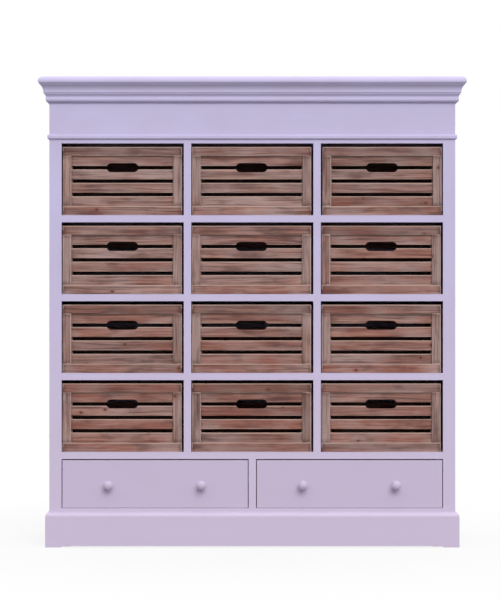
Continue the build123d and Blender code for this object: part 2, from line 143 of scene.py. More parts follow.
def per_metre(sizes_mm: Number3 | list[float]) -> list[float]:
    """Turn a pattern's size along each axis, in mm, into how often it changes in a metre."""
    return [1 / (size * MM) for size in sizes_mm]


def spacing_along(run: Run, across_mm: float, along_mm: float) -> list[float]:
    """Give how often marks that follow a board change along each axis, in a metre.

    Args:
        run: the way the board runs.
        across_mm: the marks' size across the board.
        along_mm: their length.

    Returns:
        A number for each axis.
    """
    sizes_mm = [across_mm] * 3
    sizes_mm[run.value] = along_mm
    return per_metre(sizes_mm)


def start_material(name: str) -> tuple[bpy.types.Material, Tree, bpy.types.Node]:
    """Start a material of that name.

    Args:
        name: the real material's name.

    Returns:
        The material, its tree and its surface shader.
    """
    material = bpy.data.materials.new(name)
    material.use_nodes = True
    return material, material.node_tree, material.node_tree.nodes["Principled BSDF"]


# ---------------------------------------------------------------- finishes
@dataclass(frozen=True)
class SatinAlkydPaint:
    """Satin alkyd paint brushed on primed wood: an even, low gloss with faint marks of the brush."""

    name: str
    run: Run
    colour: str = "#C8C0E2"
    thick: str = "#C4BADA"  # where a second stroke overlaps
    thick_most: float = 0.8
    streak_most: float = 0.2
    low_tint: str = "#CDBED6"  # mixed in towards the floor, so that the paint is a little pinker low down
    low_tint_most: float = 0.85
    low_tint_bottom: float = 0.05  # in metres above the floor
    low_tint_top: float = 1.0
    roughness: float = 0.42
    ior: float = 1.5
    bristle_mm: float = 7.0  # bristle marks are under a millimetre apart, too fine to show, so coarser
    bristle_depth_mm: float = 0.15
    stroke_mm: float = 260.0
    patch_mm: float = 170.0

    def material(self) -> bpy.types.Material:
        """Make the material: its colour drifts from stroke to stroke and with height above the floor.

        Returns:
            The material.
        """
        material, tree, surface = start_material(self.name)
        place = add_node(tree, "TexCoord")["Object"]
        marks = stretched_noise(
            tree, place, spacing_along(self.run, self.bristle_mm, self.stroke_mm), detail=3.0
        )
        often = 1 / (self.patch_mm * MM)
        drift = add_node(tree, "TexNoise", inputs={"Vector": place, "Scale": often, "Detail": 2.0})[0]
        patch = add_node(tree, "MapRange", inputs=(drift, 0.35, 0.65, 0.0, self.thick_most))[0]
        most = self.streak_most
        streak = add_node(tree, "MapRange", inputs=(marks, 0.3, 0.7, -most, most))[0]
        twice = add_node(tree, "Math", {"operation": "ADD", "use_clamp": True}, (patch, streak))[0]
        height = add_node(tree, "SeparateXYZ", inputs=(place,))["Z"]
        # the paint is mixed a little pinker towards the floor
        low_tint_share = add_node(
            tree, "MapRange", SMOOTH, (height, self.low_tint_bottom, self.low_tint_top, self.low_tint_most, 0.0)
        )[0]
        coat = linear(self.colour)
        for share, paint in ((twice, self.thick), (low_tint_share, self.low_tint)):
            mix = {0: share, 6: coat, 7: linear(paint)}
            coat = add_node(tree, "Mix", COLOURS, mix)[2]
        gloss = add_node(
            tree, "MapRange", inputs=(marks, 0.0, 1.0, self.roughness - 0.05, self.roughness + 0.07)
        )[0]
        depth = self.bristle_depth_mm * MM
        relief = add_node(tree, "Bump", inputs={"Height": marks, "Strength": 0.25, "Distance": depth})[0]
        tree.links.new(coat, surface.inputs["Base Color"])
        tree.links.new(gloss, surface.inputs["Roughness"])
        tree.links.new(relief, surface.inputs["Normal"])
        surface.inputs["IOR"].default_value = self.ior
        return material


@dataclass(frozen=True)
class WeatheredFir:
    """Bare fir, sawn, brushed and left to weather: matt, with raised streaks, knots and rubbed arrises, with
    painted shade, sheen and highlights.

    It reads a board's own place, half size, offset, tone, and soil with painted shade from its mesh, so that
    no two boards match.
    """

    name: str = "weathered_fir"
    early: str = "#B2897C"  # the softer, paler wood of spring
    late: str = "#633D36"  # the darker lines of summer
    ruddy: str = "#965A4C"  # boards that kept more of their red
    ruddy_most: float = 0.6
    # weathered grey, tinted pink-lilac as a painted reflection of the painted case round the crates
    silver_and_lilac_sheen: str = "#A8908D"
    silver_and_sheen_most: float = 0.75
    silver_and_sheen_less: float = 0.14  # on the reddest boards, and as much more on the greyest
    line: str = "#4A2E2A"  # thin dark lines and damp, and the painted shade at a board's ends and on a top rail, with the soil of darker crates
    line_most: float = 0.6
    damp_most: float = 0.62
    # pale wood of worn patches and arrises, and the painted highlight on upper arrises
    pale_wear_and_highlight: str = "#CAAFA4"
    pale_most: float = 0.35
    knot: str = "#3E2A25"
    halo: str = "#8A5140"  # the redder wood round a knot
    roughness: float = 0.78
    ior: float = 1.5
    sway_mm: float = 7.0  # how far the grain wanders to either side
    sways_per_metre: float = 6.0
    figure_mm: Number3 = (480.0, 9.0, 30.0)  # along, across and through the board
    streak_mm: Number3 = (130.0, 3.2, 9.0)  # summer wood is 1 to 2 mm apart, drawn wider so that it shows
    streak_share: float = 0.45  # the broad figure has the rest
    ridge_mm: float = 0.5
    line_mm: Number3 = (170.0, 3.6, 12.0)
    patch_mm: float = 60.0
    patch_stretch: float = 0.45
    cloud_mm: float = 26.0
    cloud_stretch: float = 0.34
    knot_mm: float = 4.2
    knot_spacing_mm: float = 70.0
    knot_stretch: float = 0.7
    knotless: float = 0.74  # the share of places for a knot that have none
    end_shade_mm: float = 15.0  # painted shade at a board's ends, where the stiles shade it; 8 of them lie hidden where a slat enters its rebate
    rub_mm: float = 3.4
    rub_least_mm: float = 0.3
    upper_arris_highlight: float = 0.35  # by how much more a board's upper arrises are paled: a painted highlight where light from above catches them

    def bent(self, tree: Tree, wood: Socket) -> Socket:
        """Bend a place sideways slowly, so that the grain wanders along the board.

        Args:
            tree: the material's tree.
            wood: the place in the wood.

        Returns:
            The bent place.
        """
        bend = add_node(
            tree, "TexNoise", inputs={"Vector": wood, "Scale": self.sways_per_metre, "Detail": 1.0}
        )[0]
        most = self.sway_mm * MM
        aside = add_node(tree, "MapRange", inputs=(bend, 0.0, 1.0, -most, most))[0]
        sway = add_node(tree, "CombineXYZ", inputs={"Y": aside})[0]
        return add_node(tree, "VectorMath", {"operation": "ADD"}, (wood, sway))[0]

    def summer_wood(self, tree: Tree, bent: Socket, figure: Socket) -> Socket:
        """Give how far the wood is dark summer wood, from fine streaks and the broad figure.

        Args:
            tree: the material's tree.
            bent: the bent place.
            figure: the board's broad figure.

        Returns:
            A share from 0 to 1.
        """
        streaks = stretched_noise(tree, bent, per_metre(self.streak_mm))
        rest = 1 - self.streak_share
        broad = add_node(tree, "Math", {"operation": "MULTIPLY"}, (figure, rest))[0]
        both = add_node(tree, "Math", {"operation": "MULTIPLY_ADD"}, (streaks, self.streak_share, broad))[0]
        return add_node(tree, "MapRange", inputs=(both, 0.40, 0.60, 0.0, 1.0))[0]

    def weathering(self, tree: Tree, bent: Socket, tone: Socket, patches: Socket) -> list[Layer]:
        """Give the layers that weather left: red, silver with a painted lilac sheen, clouds of damp and of
        pale wood, thin dark lines.

        Args:
            tree: the material's tree.
            bent: the bent place.
            tone: the board's redness.
            patches: a noise of broad patches.

        Returns:
            The layers, the lowest first.
        """
        greyed_and_sheen = add_node(
            tree, "Math", {"operation": "MULTIPLY_ADD"}, (tone, -self.silver_and_sheen_less, patches)
        )[0]
        stretch = (self.cloud_stretch, 1.0, 1.0)
        clouds = stretched_noise(
            tree, bent, stretch, scale=1 / (self.cloud_mm * MM), detail=3.0, shift=(5.0, 2.0, 9.0)
        )
        lines = stretched_noise(tree, bent, per_metre(self.line_mm), distortion=0.3, shift=(3.0, 7.0, 1.0))
        layers = []
        for value, start, end, most, paint in (
            (tone, 0.1, 1.0, self.ruddy_most, self.ruddy),
            # silver grey with a painted lilac sheen
            (greyed_and_sheen, 0.30, 0.62, self.silver_and_sheen_most, self.silver_and_lilac_sheen),
            (clouds, 0.48, 0.27, self.damp_most, self.line),
            (clouds, 0.57, 0.78, self.pale_most, self.pale_wear_and_highlight),
            (lines, 0.55, 0.66, self.line_most, self.line),
        ):
            share = add_node(tree, "MapRange", inputs=(value, start, end, 0.0, most))[0]
            layers.append((share, paint))
        return layers

    def knots(self, tree: Tree, wood: Socket) -> list[Layer]:
        """Give the layers of a knot here and there, longer along the grain, in a ring of redder wood.

        Args:
            tree: the material's tree.
            wood: the place in the wood.

        Returns:
            The ring's layer and the knot's.
        """
        stretch = (self.knot_stretch, 1.0, 1.0)
        where = add_node(tree, "Mapping", inputs={"Vector": wood, "Scale": stretch})[0]
        inputs = {"Vector": where, "Scale": 1 / (self.knot_spacing_mm * MM)}
        cells = add_node(tree, "TexVoronoi", {"voronoi_dimensions": "2D"}, inputs)
        chosen = add_node(tree, "Math", {"operation": "GREATER_THAN"}, (cells["Color"], self.knotless))[0]
        reach = self.knot_mm / self.knot_spacing_mm
        layers = []
        for inner, outer, most, paint in ((0.5, 2.2, 0.6, self.halo), (0.3, 1.0, 0.9, self.knot)):
            span = (cells["Distance"], inner * reach, outer * reach, most, 0.0)
            core = add_node(tree, "MapRange", SMOOTH, span)[0]
            share = add_node(tree, "Math", {"operation": "MULTIPLY"}, (core, chosen))[0]
            layers.append((share, paint))
        return layers

    def distances(self, tree: Tree, place: Socket, half: Socket) -> tuple[Socket, Socket]:
        """Measure how far a point lies from its board's nearer end and from the nearest arris.

        Args:
            tree: the material's tree.
            place: the place from the board's middle.
            half: half the board's size.

        Returns:
            Both distances in metres. The arris is the middle one of those to the three pairs of faces.
        """
        away = add_node(tree, "VectorMath", {"operation": "ABSOLUTE"}, (place,))[0]
        apart = add_node(tree, "VectorMath", {"operation": "SUBTRACT"}, (half, away))[0]
        along, across, through = add_node(tree, "SeparateXYZ", inputs=(apart,))
        lesser = add_node(tree, "Math", {"operation": "MINIMUM"}, (along, across))[0]
        greater = add_node(tree, "Math", {"operation": "MAXIMUM"}, (along, across))[0]
        capped = add_node(tree, "Math", {"operation": "MINIMUM"}, (greater, through))[0]
        arris = add_node(tree, "Math", {"operation": "MAXIMUM"}, (lesser, capped))[0]
        return along, arris

    def rub_and_highlight(self, tree: Tree, place: Socket, arris: Socket, tone: Socket, patches: Socket) -> Socket:
        """Give how far the wood is rubbed pale at its arrises, with a painted highlight that adds more at a
        board's upper arris.

        Args:
            tree: the material's tree.
            place: the place from the board's middle.
            arris: the distance to the nearest arris.
            tone: the board's redness.
            patches: a noise of broad patches.

        Returns:
            A share from 0 to 1.
        """
        side = add_node(tree, "SeparateXYZ", inputs=(place,))[1]
        upper = add_node(tree, "Math", {"operation": "GREATER_THAN"}, (side, 0.0))[0]
        rub_and_highlight_amount = add_node(tree, "Math", {"operation": "MULTIPLY_ADD"}, (upper, self.upper_arris_highlight, patches))[0]
        least, wide = self.rub_least_mm * MM, self.rub_mm * MM
        reach = add_node(tree, "MapRange", inputs=(rub_and_highlight_amount, 0.35, 0.75, least, wide))[0]
        # upright boards, whose tone mostly lies below zero, meet the rails flush and are rubbed and
        # highlighted less
        most = add_node(tree, "MapRange", inputs=(tone, -0.4, 0.0, 0.3, 0.85))[0]
        return add_node(tree, "MapRange", inputs=(arris, 0.0, reach, most, 0.0))[0]

    def material(self) -> bpy.types.Material:
        """Make the material from the board's figure, streaks, silvering with a painted sheen, knots, painted
        shade with soil, and rubbed edges with a painted highlight.

        Returns:
            The material.
        """
        material, tree, surface = start_material(self.name)
        place, half, offset = [
            add_node(tree, "Attribute", {"attribute_name": name})["Vector"]
            for name in ("place", "half", "offset")
        ]
        tone, soil_and_shade = [
            add_node(tree, "Attribute", {"attribute_name": name})["Fac"] for name in ("tone", "soil_and_shade")
        ]
        wood = add_node(tree, "VectorMath", {"operation": "ADD"}, (place, offset))[0]
        bent = self.bent(tree, wood)
        figure = stretched_noise(tree, bent, per_metre(self.figure_mm), detail=3.0, distortion=0.35)
        patches = stretched_noise(
            tree, wood, (self.patch_stretch, 1.0, 1.0), scale=1 / (self.patch_mm * MM)
        )
        dark = self.summer_wood(tree, bent, figure)

        # painted shade darkens the ends of a board, where the stiles shade it, and a board's soil and painted
        # shade lie over all of it
        along, arris = self.distances(tree, place, half)
        end = add_node(tree, "MapRange", SMOOTH, (along, 0.0, self.end_shade_mm * MM, 1.0, 0.0))[0]
        end_shade_and_soil = add_node(
            tree, "Math", {"operation": "MULTIPLY_ADD", "use_clamp": True}, (end, figure, soil_and_shade)
        )[0]
        # rubbed arrises, with a painted highlight on the upper ones
        rub_and_highlight = self.rub_and_highlight(tree, place, arris, tone, patches)

        colour = linear(self.early)
        for share, paint in (
            (dark, self.late),
            *self.weathering(tree, bent, tone, patches),
            *self.knots(tree, wood),
            (end_shade_and_soil, self.line),
            (rub_and_highlight, self.pale_wear_and_highlight),
        ):
            mix = {0: share, 6: colour, 7: linear(paint)}
            colour = add_node(tree, "Mix", COLOURS, mix)[2]
        relief = add_node(
            tree, "Bump", inputs={"Height": dark, "Strength": 0.5, "Distance": self.ridge_mm * MM}
        )[0]
        matt = add_node(
            tree, "MapRange", inputs=(dark, 0.0, 1.0, self.roughness + 0.06, self.roughness - 0.08)
        )[0]
        tree.links.new(colour, surface.inputs["Base Color"])
        tree.links.new(matt, surface.inputs["Roughness"])
        tree.links.new(relief, surface.inputs["Normal"])
        surface.inputs["IOR"].default_value = self.ior
        return material


@dataclass(frozen=True)
class PlanedPine:
    """Bare planed pine: pale and smooth, with straight honey-coloured lines along the board.

    A drawer's back is one node with its sides, so between the sides and behind its front face the lines
    run across.
    """

    name: str
    run: Run
    back: Number3 | None = None  # in metres: its front face and its left and right ends
    pale: str = "#D8BE96"
    line: str = "#B98F5F"
    roughness: float = 0.55
    ior: float = 1.5
    line_mm: float = 5.0
    line_length_mm: float = 320.0
    line_depth_mm: float = 0.15

    def along(self, tree: Tree, place: Socket) -> Socket:
        """Stretch a place along the board that it lies in.

        Args:
            tree: the material's tree.
            place: the place.

        Returns:
            The stretched place.
        """
        ways = [
            add_node(
                tree,
                "Mapping",
                inputs={"Vector": place, "Scale": spacing_along(run, self.line_mm, self.line_length_mm)},
            )[0]
            for run in ((self.run, Run.WIDTH) if self.back else (self.run,))
        ]
        if not self.back:
            return ways[0]
        front, left, right = self.back
        where = add_node(tree, "SeparateXYZ", inputs=(place,))
        across = add_node(tree, "Math", {"operation": "GREATER_THAN"}, (where["Y"], front))[0]
        for operation, limit in (("GREATER_THAN", left), ("LESS_THAN", right)):
            inside = add_node(tree, "Math", {"operation": operation}, (where["X"], limit))[0]
            across = add_node(tree, "Math", {"operation": "MULTIPLY"}, (across, inside))[0]
        mix = {0: across, 4: ways[0], 5: ways[1]}
        return add_node(tree, "Mix", {"data_type": "VECTOR"}, mix)[1]

    def material(self) -> bpy.types.Material:
        """Make the material: growth lines that lie along each board.

        Returns:
            The material.
        """
        material, tree, surface = start_material(self.name)
        along = self.along(tree, add_node(tree, "TexCoord")["Object"])
        inputs = {"Vector": along, "Scale": 1.0, "Detail": 3.0, "Distortion": 0.4}
        lines = add_node(tree, "TexNoise", inputs=inputs)[0]
        share = add_node(tree, "MapRange", inputs=(lines, 0.42, 0.68, 0.0, 1.0))[0]
        mix = {0: share, 6: linear(self.pale), 7: linear(self.line)}
        wood = add_node(tree, "Mix", COLOURS, mix)[2]
        depth = self.line_depth_mm * MM
        relief = add_node(tree, "Bump", inputs={"Height": lines, "Strength": 0.2, "Distance": depth})[0]
        tree.links.new(wood, surface.inputs["Base Color"])
        tree.links.new(relief, surface.inputs["Normal"])
        surface.inputs["Roughness"].default_value = self.roughness
        surface.inputs["IOR"].default_value = self.ior
        return material


@dataclass(frozen=True)
class DulledSteel:
    """Drawn steel of a nail, dulled by damp: grey-brown and only faintly bright."""

    name: str = "dulled_steel"
    bright: str = "#77706A"
    rust: str = "#5A3F30"
    metallic: float = 0.8
    roughness: float = 0.55
    spot_mm: float = 1.5

    def material(self) -> bpy.types.Material:
        """Make the material: steel with spots of rust.

        Returns:
            The material.
        """
        material, tree, surface = start_material(self.name)
        place = add_node(tree, "TexCoord")["Object"]
        often = 1 / (self.spot_mm * MM)
        spots = add_node(tree, "TexNoise", inputs={"Vector": place, "Scale": often})[0]
        mix = {0: spots, 6: linear(self.bright), 7: linear(self.rust)}
        colour = add_node(tree, "Mix", COLOURS, mix)[2]
        tree.links.new(colour, surface.inputs["Base Color"])
        surface.inputs["Metallic"].default_value = self.metallic
        surface.inputs["Roughness"].default_value = self.roughness
        return material


# ---------------------------------------------------------------- boards
def rounded_section(
    corners: list[Point], eases: list[float], inset: float, hollow_ease: float = 0.05, bow: float = 0.3
) -> list[Point]:
    """Round the corners of a board's section.

    Args:
        corners: the corners in order, turning left.
        eases: how far from each corner its rounding starts, in mm.
        inset: how far the whole outline shrinks, in mm, as at an eased end.
        hollow_ease: where the rounding of an inner corner starts, in mm.
        bow: how far inwards a rounding's middle lies, as a share of its ease.

    Returns:
        Three points for every corner.
    """
    points = []
    for i, corner in enumerate(corners):
        here = np.array(corner)
        back = np.array(corners[i - 1]) - here
        on = np.array(corners[(i + 1) % len(corners)]) - here
        back, on = back / np.linalg.norm(back), on / np.linalg.norm(on)
        hollow = on[0] * back[1] - on[1] * back[0] < 0
        here = here + (back + on) * (-inset if hollow else inset)
        ease = hollow_ease if hollow else eases[i]
        points += [here + ease * back, here + bow * ease * (back + on), here + ease * on]
    return [tuple(p) for p in points]


@dataclass(frozen=True)
class HandHole:
    """A round-ended hole that straddles the gap between two slats, in mm from the crate's middle."""

    length: float
    height: float
    level: float
    gap: float
    steps: int = 6
    past_end: float = 0.2  # where the slat is whole again

    def places(self) -> list[float]:
        """List the places where the hole's outline needs a section.

        Returns:
            The places along the slat.
        """
        radius = self.height / 2
        straight = self.length / 2 - radius
        widest = math.acos(self.gap / 2 / radius)
        ends = [straight + radius * math.sin(widest * i / self.steps) for i in range(self.steps + 1)]
        ends.append(ends[-1] + self.past_end)
        return [-x for x in reversed(ends)] + ends

    def bite(self, x: float) -> float:
        """Give how far above and below its middle the hole reaches.

        Args:
            x: the place along the slat.

        Returns:
            The reach, or 0 past the hole's ends.
        """
        radius = self.height / 2
        past = max(0.0, abs(x) - (self.length / 2 - radius))
        return math.sqrt(radius**2 - past**2) if past < radius else 0.0


@dataclass(frozen=True)
class Board:
    """One sawn board, from its lowest to its highest corner in mm in the crate's own frame.

    A rebate takes width and thickness off its inner rear corner, and a hand hole bites its edge.
    """

    low: Number3
    high: Number3
    run: Run
    ease: float = 0.9
    rebate: Point | None = None
    rebate_side: int = 0
    hole: HandHole | None = None
    # how much darker the board is: painted shade on a crate's top rail
    soil_and_shade: float = 0.0
    coarse: bool = False
    section_apart: float = 32.0  # between two sections, unless the board is coarse
    least_apart: float = 1.0  # between a section and a hand hole's own
    wear: Point = (0.6, 1.7)  # the least and the most that an arris is rounded, as shares of its ease
    end_inset: float = 0.6  # as a share of the ease

    def corners(self, at: float) -> list[Point]:
        """Give the corners of the board's section.

        Args:
            at: the place along the board.

        Returns:
            The corners in the board's two other axes.
        """
        first, second = [axis for axis in range(3) if axis != self.run.value]
        left, right = self.low[first], self.high[first]
        bottom, top = self.low[second], self.high[second]
        if self.hole:
            bite = self.hole.bite(at)
            if bottom < self.hole.level < top + self.hole.gap:
                top = min(top, self.hole.level - bite)
            else:
                bottom = max(bottom, self.hole.level + bite)
        outline = [(left, bottom), (right, bottom)]
        if not self.rebate:
            return outline + [(right, top), (left, top)]
        wide, deep = self.rebate
        step = top - deep
        if self.rebate_side > 0:
            return outline + [(right, step), (right - wide, step), (right - wide, top), (left, top)]
        return outline + [(right, top), (left + wide, top), (left + wide, step), (left, step)]

    def stations(self) -> list[float]:
        """List the places that get a section, closer together round a hand hole.

        Returns:
            The places along the board, from end to end.
        """
        start, end = self.low[self.run.value], self.high[self.run.value]
        count = 2 if self.coarse else max(3, round((end - start) / self.section_apart))
        inner = list(np.linspace(start + self.ease, end - self.ease, count))
        if self.hole:
            holes = self.hole.places()
            first, last = holes[0] - self.least_apart, holes[-1] + self.least_apart
            inner = [t for t in inner if t < first or t > last] + holes
        return [start, *sorted(inner), end]

    def mesh(self, rng: np.random.Generator) -> tuple[np.ndarray, list[tuple[int, ...]]]:
        """Build the board as one closed skin, its arrises worn unevenly along their length.

        Args:
            rng: the seeded source of the wear.

        Returns:
            Its points in mm and its faces.
        """
        stations = self.stations()
        last = len(stations) - 1
        sides = len(self.corners(stations[0]))
        wear = rng.uniform(*self.wear, (len(stations), sides))
        axes = [axis for axis in range(3) if axis != self.run.value]
        points = np.zeros((len(stations), sides * 3, 3))
        for i, at in enumerate(stations):
            inset = self.end_inset * self.ease if i in (0, last) else 0.0
            points[i][:, axes] = rounded_section(self.corners(at), list(self.ease * wear[i]), inset)
            points[i][:, self.run.value] = at
        ring = sides * 3
        faces = [tuple(range(ring)), tuple(range(last * ring, (last + 1) * ring))]
        for i in range(last):
            for j in range(ring):
                k = (j + 1) % ring
                faces.append((i * ring + j, i * ring + k, (i + 1) * ring + k, (i + 1) * ring + j))
        return points.reshape(-1, 3), faces


def link_skin(skin: bmesh.types.BMesh, mesh: bpy.types.Mesh) -> bpy.types.Object:
    """Turn every face of a skin outwards, put it into a mesh and show that as an object.

    Args:
        skin: the skin, which is freed.
        mesh: the mesh that takes it, and whose name the object gets.

    Returns:
        The object.
    """
    bmesh.ops.recalc_face_normals(skin, faces=skin.faces)
    skin.to_mesh(mesh)
    skin.free()
    piece = bpy.data.objects.new(mesh.name, mesh)
    bpy.context.scene.collection.objects.link(piece)
    return piece


@dataclass(frozen=True)
class BoardLook:
    """How red and how soiled a crate's boards are on the whole, and how far one strays from that."""

    redness: float
    soil_and_shade: float
    upright_less: float = 0.85  # uprights kept less of their red
    redness_strays: float = 0.4
    soil_strays: Point = (-0.12, 0.14)
    grain_apart: float = 20.0  # in metres, so that no two boards are cut from the same wood

    def draw(self, board: Board, rng: np.random.Generator) -> tuple[np.ndarray, float, float]:
        """Draw one board's own look.

        Args:
            board: the board.
            rng: the seeded source.

        Returns:
            The offset of its grain, its tone, and its soil with any painted shade.
        """
        offset = rng.uniform(-self.grain_apart, self.grain_apart, 3)
        tone = self.redness - (self.upright_less if board.run is Run.HEIGHT else 0.0)
        tone += rng.uniform(-self.redness_strays, self.redness_strays)
        soil_and_shade = self.soil_and_shade + board.soil_and_shade + rng.uniform(*self.soil_strays)
        return offset, np.clip(tone, -1, 1), np.clip(soil_and_shade, 0, 1)


def join_boards(
    name: str, boards: list[Board], origin: Vector, look: BoardLook, rng: np.random.Generator
) -> bpy.types.Object:
    """Build boards as one object whose mesh says where each point lies in its own board.

    Args:
        name: the object's name.
        boards: the boards, in mm from the origin.
        origin: where the boards' own zero is, in metres.
        look: the boards' look on the whole.
        rng: the seeded source of wear, grain and tone.

    Returns:
        The object.
    """
    points, faces, count = [], [], 0
    rows = {label: [] for label in ("place", "half", "offset", "tone", "soil_and_shade")}
    for board in boards:
        own, own_faces = board.mesh(rng)
        low, high = np.array(board.low), np.array(board.high)
        across, through = sorted(
            (axis for axis in range(3) if axis != board.run.value), key=lambda axis: low[axis] - high[axis]
        )
        order = [board.run.value, across, through]
        faces += [tuple(count + i for i in face) for face in own_faces]
        points.append(own)
        count += len(own)
        offset, tone, soil_and_shade = look.draw(board, rng)
        rows["place"].append(((own - (low + high) / 2) * MM)[:, order])
        rows["half"].append(np.tile(((high - low) / 2 * MM)[order], (len(own), 1)))
        rows["offset"].append(np.tile(offset, (len(own), 1)))
        rows["tone"].append(np.full(len(own), tone))
        rows["soil_and_shade"].append(np.full(len(own), soil_and_shade))
    mesh = bpy.data.meshes.new(name)
    mesh.from_pydata(np.concatenate(points) * MM + np.array(origin), [], faces)
    for label, parts in rows.items():
        values = np.concatenate(parts).astype(np.float32)
        kind, field = ("FLOAT_VECTOR", "vector") if values.ndim > 1 else ("FLOAT", "value")
        mesh.attributes.new(label, kind, "POINT").data.foreach_set(field, values.ravel())
    skin = bmesh.new()
    skin.from_mesh(mesh)
    return link_skin(skin, mesh)


# ---------------------------------------------------------------- crates
@dataclass(frozen=True)
class SlattedCrate:
    """A loose crate: a framed front of four slats with a hand hole, and a slatted box nailed behind it.

    Sizes are in mm. Its width, height, depth and place come from the frame.
    """

    name: str
    seed: int
    look: BoardLook
    top_rail_painted_shade: float = 0.22  # painted shade of the shelf above, darkening the whole rail
    frame_thickness: float = 14.0
    top_rail: float = 24.2
    bottom_rail: float = 24.5
    stile: float = 23.5
    slat_thickness: float = 8.0
    slat_rebate: float = 8.0
    slats: int = 4
    slat_gap: float = 9.6
    hole_length: float = 85.6
    hole_height: float = 24.4
    post: float = 18.0
    side_slats: int = 3
    side_gap: float = 15.0
    bottom_thickness: float = 6.0
    nail_head: float = 4.6
    nail_top: float = 0.7  # of the head's width, where it is flat
    nail_proud: float = 0.35
    nail_sunk: float = 0.2
    nail_levels: Point = (0.25, 0.75)  # as shares of a slat's height
    nail_corners: int = 8

    def size(self) -> tuple[Vector, float, float, float]:
        """Read the crate's place and size from the frame.

        Returns:
            The middle of the front's lower edge in metres, and the width, height and depth in mm.
        """
        low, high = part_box(self.name + "_front")
        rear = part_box(self.name + "_box")[1]
        middle = Vector(((low.x + high.x) / 2, low.y, low.z))
        return middle, (high.x - low.x) / MM, (high.z - low.z) / MM, (rear.y - low.y) / MM

    def side_levels(self) -> tuple[list[float], float]:
        """Space the side and back slats evenly over the height.

        Returns:
            The levels of their lower edges, and the height of one slat.
        """
        height = self.size()[2]
        lift = (height - (self.side_slats - 1) * self.side_gap) / self.side_slats
        return [slat * (lift + self.side_gap) for slat in range(self.side_slats)], lift

    def front_boards(self) -> list[Board]:
        """Lay out the front.

        Returns:
            Two rails, two rebated stiles and four slats.
        """
        _, width, height, _ = self.size()
        half, thick = width / 2, self.frame_thickness
        window = height - self.top_rail - self.bottom_rail
        slat_height = (window - (self.slats - 1) * self.slat_gap) / self.slats
        pitch = slat_height + self.slat_gap
        level = self.bottom_rail + (self.slats - 1) * pitch - self.slat_gap / 2
        hole = HandHole(self.hole_length, self.hole_height, level, self.slat_gap)
        reach = half - self.stile + self.slat_rebate
        rail_foot = height - self.top_rail
        boards = [
            Board((-half, 0, 0), (half, thick, self.bottom_rail), Run.WIDTH),
            Board((-half, 0, rail_foot), (half, thick, height), Run.WIDTH, soil_and_shade=self.top_rail_painted_shade),
        ]
        for side in (-1, 1):
            left, right = sorted((side * half, side * (half - self.stile)))
            boards.append(
                Board(
                    (left, 0, self.bottom_rail),
                    (right, thick, rail_foot),
                    Run.HEIGHT,
                    rebate=(self.slat_rebate, self.slat_thickness),
                    rebate_side=-side,
                )
            )
        for slat in range(self.slats):
            foot = self.bottom_rail + slat * pitch
            boards.append(
                Board(
                    (-reach, thick - self.slat_thickness, foot),
                    (reach, thick, foot + slat_height),
                    Run.WIDTH,
                    hole=hole if slat >= self.slats - 2 else None,
                )
            )
        return boards

    def box_boards(self) -> list[Board]:
        """Lay out the box behind the front.

        Returns:
            The bottom, four posts, the side slats and the back slats.
        """
        _, width, height, depth = self.size()
        half, thin, thick = width / 2, self.slat_thickness, self.frame_thickness
        inner, rear = half - thin, depth - thin
        feet, lift = self.side_levels()
        boards = [Board((-inner, thick, 0), (inner, rear, self.bottom_thickness), Run.WIDTH, coarse=True)]
        for side in (-1, 1):
            for front in (thick, rear - self.post):
                left = -inner if side < 0 else inner - self.post
                boards.append(
                    Board(
                        (left, front, self.bottom_thickness),
                        (left + self.post, front + self.post, height),
                        Run.HEIGHT,
                        coarse=True,
                    )
                )
            left = -half if side < 0 else half - thin
            for foot in feet:
                boards.append(
                    Board((left, thick, foot), (left + thin, rear, foot + lift), Run.DEPTH, coarse=True)
                )
        for foot in feet:
            boards.append(Board((-half, rear, foot), (half, depth, foot + lift), Run.WIDTH, coarse=True))
        return boards

    def nail_places(self) -> list[tuple[Vector, Vector]]:
        """Place two nails at each end of every side and back slat.

        Returns:
            Each nail's place in mm and the way that it faces.
        """
        _, width, _, depth = self.size()
        half, rear = width / 2, depth - self.slat_thickness
        post_middle = self.post / 2
        feet, lift = self.side_levels()
        places = []
        for foot in feet:
            for level in [foot + share * lift for share in self.nail_levels]:
                for side in (-1, 1):
                    for y in (self.frame_thickness + post_middle, rear - post_middle):
                        places.append((Vector((side * half, y, level)), Vector((side, 0, 0))))
                    x = side * (half - self.slat_thickness - post_middle)
                    places.append((Vector((x, depth, level)), Vector((0, 1, 0))))
        return places

    def nails(self, material: bpy.types.Material) -> None:
        """Build the nail heads.

        Args:
            material: their finish.
        """
        origin = self.size()[0]
        skin = bmesh.new()
        turn = [math.tau * i / self.nail_corners for i in range(self.nail_corners)]
        wide = self.nail_head / 2
        for middle, out in self.nail_places():
            rim = UP.cross(out)
            round_it = [math.cos(angle) * rim + math.sin(angle) * UP for angle in turn]
            low, high = [
                [skin.verts.new(middle + lift * out + radius * way) for way in round_it]
                for lift, radius in ((-self.nail_sunk, wide), (self.nail_proud, self.nail_top * wide))
            ]
            for i in range(self.nail_corners):
                skin.faces.new((low[i], low[i - 1], high[i - 1], high[i]))
            skin.faces.new(high)
            skin.faces.new(list(reversed(low)))
        piece = link_skin(skin, bpy.data.meshes.new(self.name + "_nails"))
        for vertex in piece.data.vertices:
            vertex.co = vertex.co * MM + origin
        piece.data.materials.append(material)
        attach(piece, self.name)

